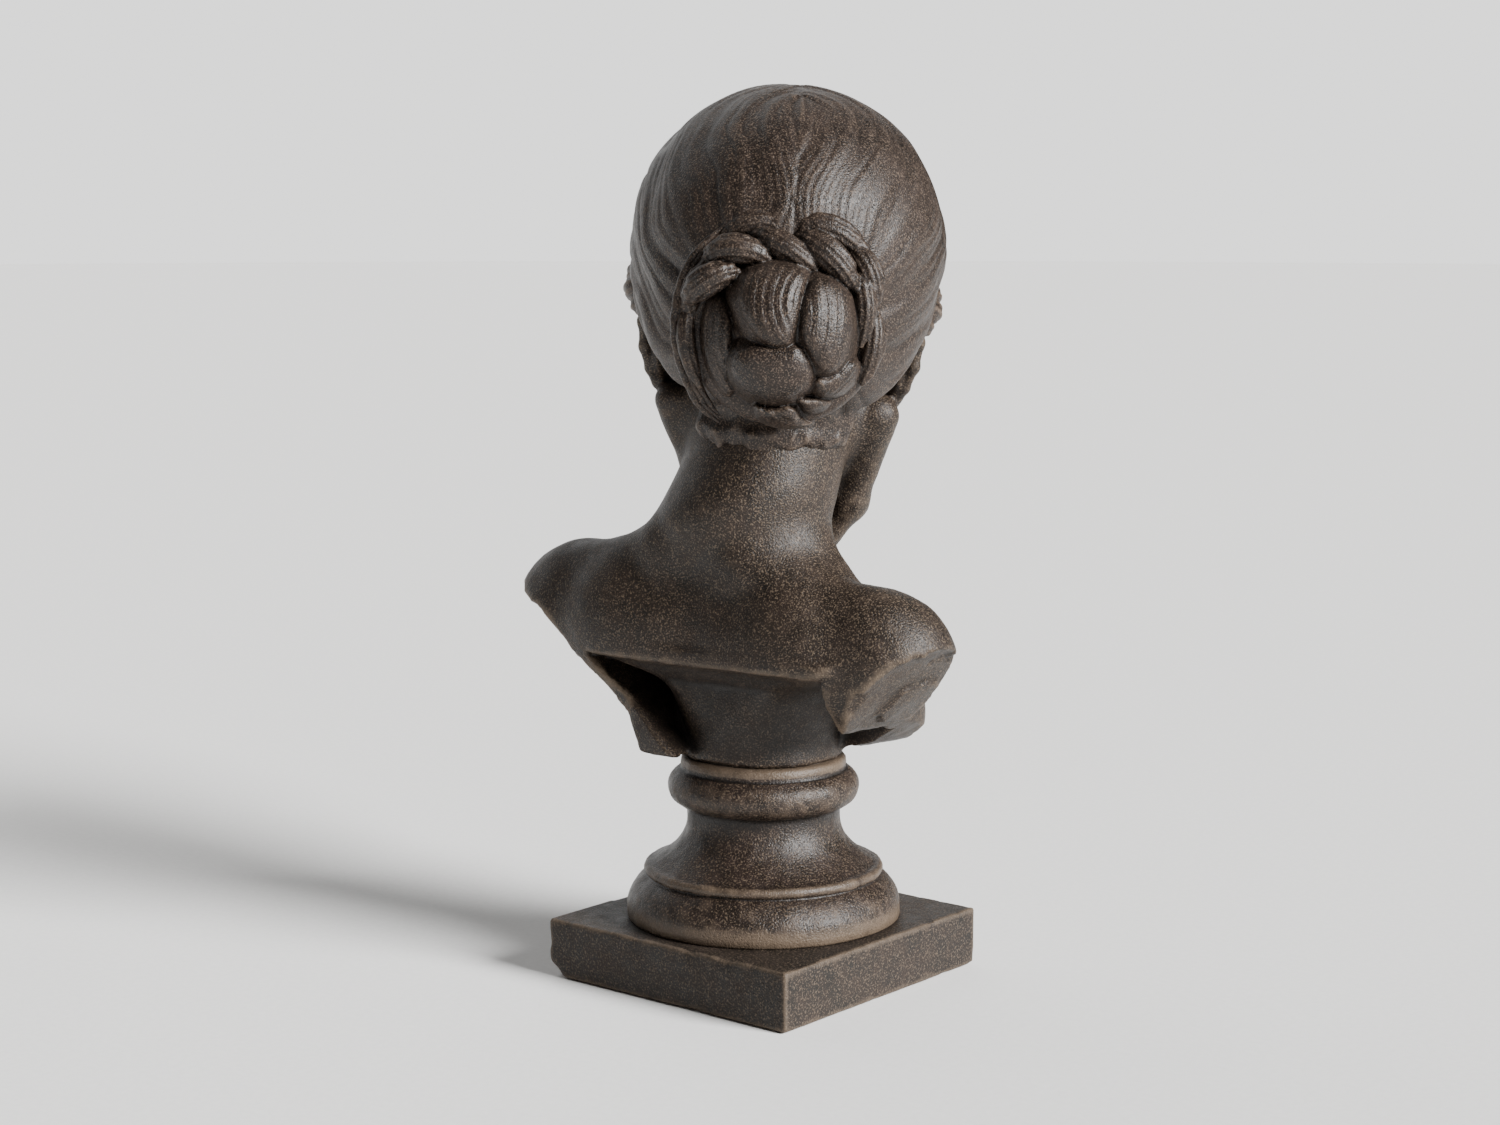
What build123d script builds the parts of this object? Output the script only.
"""Portrait bust on a turned socle and a square plinth, cast in stone and held together by one tie rod.

Millimetres. +Z is up, the origin is the centre of the felt's underside, and the chest faces -Y.
The head is turned towards +X, the sitter's left.
"""

import os
from math import cos, pi, radians, sin

from build123d import *

# ---------------------------------------------------------------- driving sizes
# felt under the plinth
felt_thickness = 1.0
felt_margin = 5.0

# square plinth
plinth_side = 170.0
plinth_height = 32.0
plinth_edge = 1.8
plinth_corner = 3.0

# turned socle, from the foot up
foot_radius = 77.7
foot_height = 25.0
foot_shoulder = 65.0
foot_lip = 5.0
band_radius = 66.5
band_height = 6.0
scotia_radius = 62.0
scotia_height = 27.0
waist_radius = 43.3
waist_height = 6.5
collar_radius = 54.3
collar_height = 21.5
collar_step = 2.5
neck_ring_radius = 46.8
neck_ring_height = 7.0

# beds of stone cement in the joints
bed_thickness = 0.5
bed_margin = 3.0

# bust: the column under the chest, and the flare that it makes under the back
column_radius = 44.0
column_height = 13.0
flare_radius = 84.0
flare_height = 48.0
flare_front_wall = 22.0
flare_back_wall = 3.0
shelf_height = 58.0

# bust: the chest and the shoulders
chest_yaw = 5.0
chest_offset_x = 11.0
chest_offset_y = 15.0
shoulder_half_width = 135.0
shoulder_height = 124.0
chest_half_depth = 62.0
hollow_front_y = -31.0
hollow_half_width = 86.0
section_points = 12
section_fullness = 2.6

# neck
neck_half_width = 44.5
neck_half_depth = 50.0

# head with its hair, about the midpoint between the ears
head_half_width = 87.5
head_half_length = 104.0
head_top = 149.0
head_chin = 93.0
head_yaw = 40.0
head_roll = 4.5
head_pitch = 3.0
head_centre_x = 7.0
head_centre_y = -22.0
head_above_column = 222.5
ear_height = 60.0
ear_width = 34.0
ear_thickness = 28.0
ear_reach = 73.0
ear_taper = 4.0
ear_back = 4.0
ear_drop = -4.0
ear_slant = 0.28
nose_reach = 120.0
nose_width = 30.0
nose_base = -26.0
nose_base_depth = 18.0
nose_bridge = 16.0
nose_bridge_depth = 14.0
nose_bridge_reach = 96.0

# chignon set into the back of the head
chignon_radius = 54.0
chignon_reach = 142.0
chignon_height = 19.0
chignon_boss_diameter = 44.0
chignon_boss_inset = 22.0
chignon_gap = 0.3
chignon_rim_taper = 3.0
chignon_boss_overlap = 6.0

# tie rod, its nut and washers, and the anchor cast into the bust
rod_diameter = 12.0
rod_clearance = 1.0
rod_end_gap = 3.0
rod_chamfer = 1.0
anchor_diameter = 24.0
anchor_length = 40.0
anchor_flange_diameter = 34.0
anchor_flange_thickness = 5.0
anchor_end_wall = 5.0
anchor_above_joint = 20.0
thread_gap = 0.05
nut_flats = 18.0
nut_height = 10.0
lock_washer_diameter = 20.0
lock_washer_thickness = 3.0
washer_diameter = 34.0
washer_thickness = 3.0
washer_bore_gap = 0.5
counterbore_margin = 4.0

# steel dowels in the joints, and the pin in the chignon
dowel_diameter = 6.0
dowel_length = 28.0
dowel_gap = 0.1
dowel_end_gap = 2.0
lower_dowel_circle = 52.0
upper_dowel_circle = 28.0
pin_diameter = 8.0
pin_length = 44.0

# ---------------------------------------------------------------- sizes that follow
plinth_bottom = felt_thickness
plinth_top = plinth_bottom + plinth_height
socle_bottom = plinth_top + bed_thickness
band_bottom = socle_bottom + foot_height
scotia_bottom = band_bottom + band_height
waist_bottom = scotia_bottom + scotia_height
collar_bottom = waist_bottom + waist_height
ring_bottom = collar_bottom + collar_height
socle_top = ring_bottom + neck_ring_height
bust_bottom = socle_top + bed_thickness
shelf_z = bust_bottom + shelf_height
shoulder_z = bust_bottom + shoulder_height
head_centre_z = bust_bottom + head_above_column

rod_hole_radius = rod_diameter / 2 + rod_clearance
counterbore_radius = washer_diameter / 2 + counterbore_margin
counterbore_depth = nut_height + lock_washer_thickness + washer_thickness + 2 * rod_end_gap
washer_bottom = plinth_bottom + counterbore_depth - washer_thickness
lock_washer_bottom = washer_bottom - lock_washer_thickness
nut_bottom = lock_washer_bottom - nut_height
rod_bottom = nut_bottom - rod_end_gap
anchor_bottom = bust_bottom + anchor_above_joint
anchor_top = anchor_bottom + anchor_length
flange_bottom = anchor_top - anchor_flange_thickness
rod_top = anchor_top - anchor_end_wall

dowel_hole_radius = dowel_diameter / 2 + dowel_gap
lower_dowel_bottom = (plinth_top + socle_bottom - dowel_length) / 2
upper_dowel_bottom = (socle_top + bust_bottom - dowel_length) / 2
lower_dowel_top = lower_dowel_bottom + dowel_length
upper_dowel_top = upper_dowel_bottom + dowel_length
lower_spots = [(-lower_dowel_circle, 0), (lower_dowel_circle, 0)]
upper_spots = [(0, -upper_dowel_circle), (0, upper_dowel_circle)]

# ---------------------------------------------------------------- frames
chest_frame = Plane(
    origin=(chest_offset_x, chest_offset_y, 0),
    x_dir=(cos(radians(chest_yaw)), sin(radians(chest_yaw)), 0),
    z_dir=(0, 0, 1),
)
# The head's x axis points to the sitter's left and its y axis to the back of the head.
head_frame = Plane(origin=(head_centre_x, head_centre_y, head_centre_z))
for turn in ((0, -head_roll, 0), (head_pitch, 0, 0), (0, 0, head_yaw)):
    head_frame = head_frame.rotated(turn)
# The chignon's axis runs straight out of the back of the head.
chignon_seat = head_half_length - chignon_boss_inset
chignon_frame = Plane(
    origin=head_frame.from_local_coords((0, chignon_seat, chignon_height)),
    x_dir=head_frame.x_dir,
    z_dir=head_frame.y_dir,
)


# ---------------------------------------------------------------- shared features
def drill(frame, radius, bottom, top, spots=((0, 0),), mode=Mode.SUBTRACT):
    """Cuts, or with Mode.ADD makes, a round bar along the frame's z axis at each (x, y) spot."""
    with BuildSketch(frame.offset(bottom)) as end:
        with Locations(*spots):
            Circle(radius)
    extrude(end.sketch, amount=top - bottom, mode=mode)


def loft_rings(frame, rings, grow=0.0, ruled=False, mode=Mode.ADD):
    """Lofts level ellipses, each (height, centre x, centre y, half width, half length, turn)."""
    sections = []
    for height, centre_x, centre_y, half_width, half_length, turn in rings:
        with BuildSketch(frame.offset(height)) as ring:
            with Locations((centre_x, centre_y)):
                Ellipse(half_width + grow, half_length + grow, rotation=turn)
        sections.append(ring.sketch)
    loft(sections, ruled=ruled, mode=mode)


def chest_section(x, front, back, bottom, top, lean):
    """One upright section of the chest at local x: a full, rounded outline that leans back."""
    centre = (bottom + top) / 2
    points = []
    for corner in range(section_points):
        across = cos(corner * 2 * pi / section_points)
        up = sin(corner * 2 * pi / section_points)
        full = (abs(across) ** section_fullness + abs(up) ** section_fullness) ** (-1 / section_fullness)
        y = (front + back) / 2 + full * across * (back - front) / 2 + lean * up
        points.append((y, centre + full * up * (top - bottom) / 2))
    origin = chest_frame.from_local_coords((x, 0, 0))
    with BuildSketch(Plane(origin, chest_frame.y_dir, chest_frame.x_dir)) as section:
        with BuildLine():
            Spline(*points, periodic=True)
        make_face()
    return section.sketch


# ---------------------------------------------------------------- felt
with BuildPart() as base_felt:
    with BuildSketch():
        RectangleRounded(plinth_side - 2 * felt_margin, plinth_side - 2 * felt_margin, plinth_corner)
    extrude(amount=felt_thickness)
base_felt.part.label = "base_felt"

# ---------------------------------------------------------------- plinth
with BuildPart() as plinth:
    with BuildSketch(Plane.XY.offset(plinth_bottom)):
        RectangleRounded(plinth_side, plinth_side, plinth_corner)
    extrude(amount=plinth_height)
    fillet(plinth.edges().group_by(Axis.Z)[-1], plinth_edge)
    fillet(plinth.edges().group_by(Axis.Z)[0], plinth_edge)
    drill(Plane.XY, rod_hole_radius, plinth_bottom, plinth_top)
    drill(Plane.XY, counterbore_radius, plinth_bottom, plinth_bottom + counterbore_depth)
    drill(Plane.XY, dowel_hole_radius, lower_dowel_bottom, plinth_top, lower_spots)
plinth.part.label = "plinth"

# ---------------------------------------------------------------- socle
with BuildPart() as socle:
    with BuildSketch(Plane.XZ):
        with BuildLine():
            # the foot stands on a short upright lip and rolls in to its shoulder
            bottom = Line((rod_hole_radius, socle_bottom), (foot_radius, socle_bottom))
            lip = Line(bottom @ 1, (foot_radius, socle_bottom + foot_lip))
            foot = Spline(
                lip @ 1,
                (foot_shoulder, band_bottom),
                tangents=((0, 1), (-1, 0.4)),
                tangent_scalars=(1.1, 0.9),
            )
            # a narrow rounded band
            band = ThreePointArc(
                foot @ 1,
                (band_radius, band_bottom + band_height / 2),
                (scotia_radius, scotia_bottom),
            )
            # the hollow sweeps in to the waist
            scotia = Spline(
                band @ 1,
                (waist_radius, waist_bottom),
                tangents=((-0.75, 0.66), (0, 1)),
                tangent_scalars=(1.0, 1.3),
            )
            waist = Line(scotia @ 1, (waist_radius, collar_bottom))
            # the collar is a round moulding between two small steps
            collar_low = Line(waist @ 1, (neck_ring_radius, collar_bottom))
            collar = ThreePointArc(
                collar_low @ 1,
                (collar_radius, (collar_bottom + ring_bottom - collar_step) / 2),
                (neck_ring_radius + collar_step, ring_bottom - collar_step),
            )
            collar_high = Line(collar @ 1, (neck_ring_radius, ring_bottom))
            ring = Line(collar_high @ 1, (neck_ring_radius, socle_top))
            Polyline(ring @ 1, (rod_hole_radius, socle_top), bottom @ 0)
        make_face()
    revolve(axis=Axis.Z)
    drill(Plane.XY, dowel_hole_radius, socle_bottom, lower_dowel_top + dowel_end_gap, lower_spots)
    drill(Plane.XY, dowel_hole_radius, upper_dowel_bottom, socle_top, upper_spots)
socle.part.label = "socle"

# ---------------------------------------------------------------- head with its hair
head_rings = [
    (-head_chin, 0, -70.0, 13.0, 10.0, 0),
    (-head_chin + 14, 0, -52.0, 33.0, 38.0, 0),
    (-56.0, 0, -35.0, 52.0, 57.0, 0),
    (-30.0, 0, -18.0, 0.71 * head_half_width, 76.0, 0),
    (0.0, 0, -5.0, 0.84 * head_half_width, 92.0, 0),
    (34.0, 0, 0.0, 0.965 * head_half_width, 0.985 * head_half_length, 0),
    (68.0, 0, 4.0, head_half_width, head_half_length, 0),
    (98.0, 0, 5.0, 0.92 * head_half_width, 0.93 * head_half_length, 0),
    (122.0, 0, 5.0, 0.75 * head_half_width, 0.75 * head_half_length, 0),
    (head_top - 10, 0, 5.0, 0.51 * head_half_width, 0.51 * head_half_length, 0),
    (head_top, 0, 5.0, 0.18 * head_half_width, 0.18 * head_half_length, 0),
]
# The neck widens into the shoulders at its foot, and its top is inside the head.
neck_rings = [
    (shoulder_z - 44, 6.0, 10.0, neck_half_width + 29, neck_half_depth - 16, 5),
    (shoulder_z - 18, 6.0, 12.0, neck_half_width + 25, neck_half_depth - 12, 5),
    (shoulder_z - 4, 7.0, 13.0, neck_half_width + 19, neck_half_depth - 9, 5),
    (shoulder_z + 10, 3.5, 13.0, neck_half_width + 10, neck_half_depth - 6, 15),
    (shoulder_z + 24, 0.0, 8.0, neck_half_width + 2, neck_half_depth - 2, head_yaw),
    (head_centre_z - 50, -1.0, -2.0, neck_half_width, neck_half_depth, head_yaw),
    (head_centre_z - 12, 2.0, -13.0, neck_half_width, neck_half_depth, head_yaw),
]


def head_and_neck(grow=0.0):
    """Adds the head and the neck to the part being built, every ring grown by a clearance."""
    loft_rings(head_frame, head_rings, grow)
    loft_rings(Plane.XY, neck_rings, grow, ruled=True)


# ---------------------------------------------------------------- bust: torso
# local x, front y, back y, lowest, highest, lean back
tip = shoulder_half_width
chest_front = -chest_half_depth - 18.0
chest_back = chest_half_depth - 17.0
chest_sections = [
    (-tip, -16.0, 8.0, shoulder_z - 72, shoulder_z - 44, 2),
    (-tip + 16, -34.0, 30.0, shoulder_z - 104, shoulder_z - 31, 3),
    (-tip + 40, -48.0, 43.0, shoulder_z - 128, shoulder_z - 19, 4),
    (-tip + 74, chest_front + 8, chest_back, shoulder_z - 138, shoulder_z - 14, 6),
    (0.0, chest_front, chest_back, shoulder_z - 142, shoulder_z - 3, 8),
    (tip - 74, chest_front + 8, chest_back, shoulder_z - 138, shoulder_z - 1, 6),
    (tip - 40, -46.0, 43.0, shoulder_z - 122, shoulder_z - 6, 4),
    (tip - 16, -28.0, 32.0, shoulder_z - 88, shoulder_z - 14, 3),
    (tip, -6.0, 12.0, shoulder_z - 44, shoulder_z - 24, 2),
]
# the cut through the chest and both arms, seen from the front, from the sitter's right to the left
cut_line = [
    (-tip - 10, shoulder_z - 42),
    (-tip + 8, shoulder_z - 56),
    (-tip + 27, shoulder_z - 78),
    (-tip + 42, shoulder_z - 98),
    (-tip + 62, bust_bottom + 12),
    (-column_radius + 8, bust_bottom + 2),
    (column_radius - 8, bust_bottom + 2),
    (tip - 80, bust_bottom + 23),
    (tip - 70, shoulder_z - 84),
    (tip - 55, shoulder_z - 69),
    (tip - 30, shoulder_z - 54),
    (tip - 12, shoulder_z - 37),
    (tip + 10, shoulder_z - 26),
]
front_plane = Plane(chest_frame.origin, x_dir=chest_frame.x_dir, z_dir=-chest_frame.y_dir)


def chest_plane(y):
    """An upright plane across the chest at local y, facing the back."""
    return Plane(chest_frame.from_local_coords((0, y, 0)), chest_frame.x_dir, chest_frame.y_dir)


# the column under the chest flares out below the back, and stops flush inside it
with BuildPart() as column:
    with BuildSketch(Plane.XZ):
        with BuildLine():
            side = Line((column_radius, bust_bottom), (column_radius, bust_bottom + column_height))
            flare = Spline(
                side @ 1,
                (column_radius + 0.3 * (flare_radius - column_radius), bust_bottom + 0.87 * flare_height),
                (flare_radius, bust_bottom + flare_height),
                tangents=((0, 1), (1, 0.15)),
            )
            Polyline(flare @ 1, (flare_radius, shelf_z + 3), (0, shelf_z + 3), (0, bust_bottom), side @ 0)
        make_face()
    revolve(axis=Axis.Z)
    split(bisect_by=chest_plane(chest_back - flare_back_wall), keep=Keep.BOTTOM)
    split(bisect_by=chest_plane(chest_front + flare_front_wall), keep=Keep.TOP)

with BuildPart() as bust:
    loft([chest_section(*sizes) for sizes in chest_sections])
    # the chest and the arms are cut away below the cut line
    with BuildSketch(front_plane):
        with BuildLine():
            Polyline(
                *cut_line,
                (tip + 10, shoulder_z + 20),
                (-tip - 10, shoulder_z + 20),
                close=True,
            )
        make_face()
    extrude(amount=2 * chest_half_depth, both=True, mode=Mode.INTERSECT)
    # the back is hollow below the shoulder blades
    with BuildSketch(chest_frame.offset(bust_bottom - 30)):
        with Locations((0, hollow_front_y)):
            Rectangle(2 * hollow_half_width, 2 * chest_half_depth, align=(Align.CENTER, Align.MIN))
    extrude(amount=shelf_z - bust_bottom + 30, mode=Mode.SUBTRACT)
    add(column.part)
    head_and_neck()
    # nose, from its base up to the bridge
    with BuildSketch(head_frame.offset(nose_base)):
        with Locations((0, nose_base_depth - nose_reach)):
            Ellipse(nose_width / 2, nose_base_depth)
    with BuildSketch(head_frame.offset(nose_bridge)):
        with Locations((0, nose_bridge_depth - nose_bridge_reach)):
            Ellipse(nose_width / 4, nose_bridge_depth)
    loft()
    # ears, which narrow outwards
    for side_sign in (-1, 1):
        ear_plane = Plane(
            head_frame.from_local_coords((side_sign * (ear_reach - ear_thickness), ear_back, ear_drop)),
            x_dir=head_frame.y_dir,
            z_dir=side_sign * head_frame.x_dir - ear_slant * head_frame.z_dir,
        )
        with BuildSketch(ear_plane):
            Ellipse(ear_width / 2, ear_height / 2)
        with BuildSketch(ear_plane.offset(ear_thickness)):
            Ellipse(ear_width / 2 - ear_taper, ear_height / 2 - ear_taper)
        loft()
    # the seat of the chignon's boss, and the hole of its pin
    drill(chignon_frame, chignon_boss_diameter / 2 + dowel_gap, 0, 3 * chignon_boss_inset)
    drill(chignon_frame, pin_diameter / 2 + dowel_gap, -pin_length / 2, 1)
    # the rod's hole, the anchor's pocket and the dowels' holes
    drill(Plane.XY, rod_hole_radius, bust_bottom, anchor_bottom)
    drill(Plane.XY, anchor_diameter / 2 + thread_gap, anchor_bottom, flange_bottom)
    drill(Plane.XY, anchor_flange_diameter / 2 + thread_gap, flange_bottom, anchor_top)
    drill(Plane.XY, dowel_hole_radius, bust_bottom, upper_dowel_top + dowel_end_gap, upper_spots)
bust.part.label = "bust"

# ---------------------------------------------------------------- chignon
dome = chignon_reach - chignon_seat
with BuildPart() as chignon:
    with BuildSketch(Plane(chignon_frame.origin, chignon_frame.x_dir, -chignon_frame.y_dir)):
        with BuildLine():
            rim = Line((chignon_radius - chignon_rim_taper, -dome / 3), (chignon_radius, dome / 3))
            crown = Spline(
                rim @ 1,
                (chignon_radius * 0.74, dome * 0.86),
                (0, dome),
                tangents=((0, 1), (-1, 0)),
            )
            Polyline(crown @ 1, (0, -dome / 3), rim @ 0)
        make_face()
    revolve(axis=Axis(chignon_frame.origin, chignon_frame.z_dir))
    # its back follows the head and the neck, one cement line away
    loft_rings(head_frame, head_rings, chignon_gap, mode=Mode.SUBTRACT)
    loft_rings(Plane.XY, neck_rings, chignon_gap, ruled=True, mode=Mode.SUBTRACT)
    # a round boss reaches the seat in the head, and holds the pin
    boss_top = chignon_boss_inset + chignon_boss_overlap
    drill(chignon_frame, chignon_boss_diameter / 2, 0, boss_top, mode=Mode.ADD)
    drill(chignon_frame, pin_diameter / 2 + dowel_gap, 0, pin_length / 2 + dowel_end_gap)
chignon.part.label = "chignon"

with BuildPart() as chignon_pin:
    drill(chignon_frame, pin_diameter / 2, -pin_length / 2, pin_length / 2, mode=Mode.ADD)
chignon_pin.part.label = "chignon_pin"

# ---------------------------------------------------------------- tie rod and its fittings
with BuildPart() as tie_rod:
    drill(Plane.XY, rod_diameter / 2, rod_bottom, rod_top, mode=Mode.ADD)
    chamfer(tie_rod.edges(), rod_chamfer)
tie_rod.part.label = "tie_rod"

with BuildPart() as rod_anchor:
    drill(Plane.XY, anchor_diameter / 2, anchor_bottom, flange_bottom, mode=Mode.ADD)
    drill(Plane.XY, anchor_flange_diameter / 2, flange_bottom, anchor_top, mode=Mode.ADD)
    drill(Plane.XY, rod_diameter / 2 + thread_gap, anchor_bottom, rod_top)
rod_anchor.part.label = "rod_anchor"

with BuildPart() as rod_nut:
    with BuildSketch(Plane.XY.offset(nut_bottom)):
        RegularPolygon(nut_flats / 2, 6, major_radius=False)
    extrude(amount=nut_height)
    drill(Plane.XY, rod_diameter / 2 + thread_gap, nut_bottom, lock_washer_bottom)
rod_nut.part.label = "rod_nut"


def ring_washer(outer_radius, bottom, thickness):
    """Adds a flat ring around the rod."""
    drill(Plane.XY, outer_radius, bottom, bottom + thickness, mode=Mode.ADD)
    drill(Plane.XY, rod_diameter / 2 + washer_bore_gap, bottom, bottom + thickness)


with BuildPart() as lock_washer:
    ring_washer(lock_washer_diameter / 2, lock_washer_bottom, lock_washer_thickness)
lock_washer.part.label = "lock_washer"

with BuildPart() as washer:
    ring_washer(washer_diameter / 2, washer_bottom, washer_thickness)
washer.part.label = "washer"

# ---------------------------------------------------------------- dowels
with BuildPart() as lower_dowels:
    drill(Plane.XY, dowel_diameter / 2, lower_dowel_bottom, lower_dowel_top, lower_spots, Mode.ADD)
lower_dowels.part.label = "lower_dowels"

with BuildPart() as upper_dowels:
    drill(Plane.XY, dowel_diameter / 2, upper_dowel_bottom, upper_dowel_top, upper_spots, Mode.ADD)
upper_dowels.part.label = "upper_dowels"


# ---------------------------------------------------------------- cement beds
def cement_bed(outer_radius, bottom, spots):
    """Adds a thin disc of cement, open around the rod and the dowels."""
    drill(Plane.XY, outer_radius, bottom, bottom + bed_thickness, mode=Mode.ADD)
    drill(Plane.XY, rod_hole_radius, bottom, bottom + bed_thickness)
    drill(Plane.XY, dowel_hole_radius, bottom, bottom + bed_thickness, spots)


with BuildPart() as lower_bed:
    cement_bed(foot_radius - bed_margin, plinth_top, lower_spots)
lower_bed.part.label = "lower_bed"

with BuildPart() as upper_bed:
    cement_bed(column_radius - bed_margin, socle_top, upper_spots)
upper_bed.part.label = "upper_bed"

# ---------------------------------------------------------------- files
os.makedirs("parts", exist_ok=True)
pieces = (
    base_felt,
    plinth,
    lower_bed,
    socle,
    upper_bed,
    bust,
    chignon,
    chignon_pin,
    tie_rod,
    rod_anchor,
    rod_nut,
    lock_washer,
    washer,
    lower_dowels,
    upper_dowels,
)
for piece in pieces:
    export_step(piece.part, f"parts/{piece.part.label}.step")
